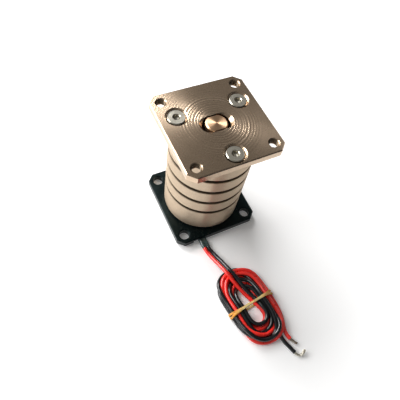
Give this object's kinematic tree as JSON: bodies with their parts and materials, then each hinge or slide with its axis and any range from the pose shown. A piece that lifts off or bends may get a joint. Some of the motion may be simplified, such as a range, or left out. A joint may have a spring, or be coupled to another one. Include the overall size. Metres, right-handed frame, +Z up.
{
  "type": "voice coil motor",
  "caption": "Cylindrical voice coil motor: grooved magnet housing with a square top plate that slides on a brass shaft over a coil fixed to a black base plate, with red and black leads.",
  "frame": {"origin": "middle of the base plate's underside", "axes": "+Z up along the shaft, the direction of travel; -Y towards the edge where the leads leave; +X along that edge"},
  "size_m": [0.04, 0.1032, 0.0565],
  "materials": {
    "black_anodised": "black anodised, satin",
    "copper_wire": "enamelled copper",
    "turned_brass": "turned",
    "stainless": "bright",
    "black_rubber": "matte",
    "shrink_tube": "satin heat-shrink",
    "red_insulation": "semi-gloss soft plastic",
    "black_insulation": "semi-gloss soft plastic",
    "amber_rubber": "translucent amber rubber",
    "tinned_wire": "tinned strands",
    "plated_plate": "champagne nickel plate over turned steel",
    "plated_housing": "champagne nickel plate over turned steel",
    "nickel_magnet": "bright nickel plate",
    "soft_iron": "machined",
    "bronze": "sintered"
  },
  "bodies": {
    "coil_side": {"base_plate": "black_anodised", "coil_bobbin": "black_anodised", "coil_winding": "copper_wire", "coil_ends": "copper_wire", "guide_shaft": "turned_brass", "shaft_screw": "stainless", "bobbin_screws": "stainless", "stop_bumper": "black_rubber", "shrink_sleeve": "shrink_tube", "red_lead": "red_insulation", "black_lead": "black_insulation", "lead_hank": "red_insulation", "rubber_band": "amber_rubber", "red_tail": "red_insulation", "black_tail": "black_insulation", "red_tip": "tinned_wire", "black_tip": "tinned_wire"},
    "magnet_side": {"top_plate": "plated_plate", "plate_screws": "stainless", "outer_yoke": "plated_housing", "magnet_tube": "stainless", "upper_magnet": "nickel_magnet", "middle_magnet": "nickel_magnet", "lower_magnet": "nickel_magnet", "pole_piece": "soft_iron", "clamp_nut": "turned_brass", "upper_bush": "bronze", "lower_bush": "bronze"}
  },
  "joints": [
    {"name": "magnet_slide", "type": "slide", "parent": "coil_side", "child": "magnet_side", "axis": [0, 0, 1], "range_m": [0, 0.01]}
  ]
}
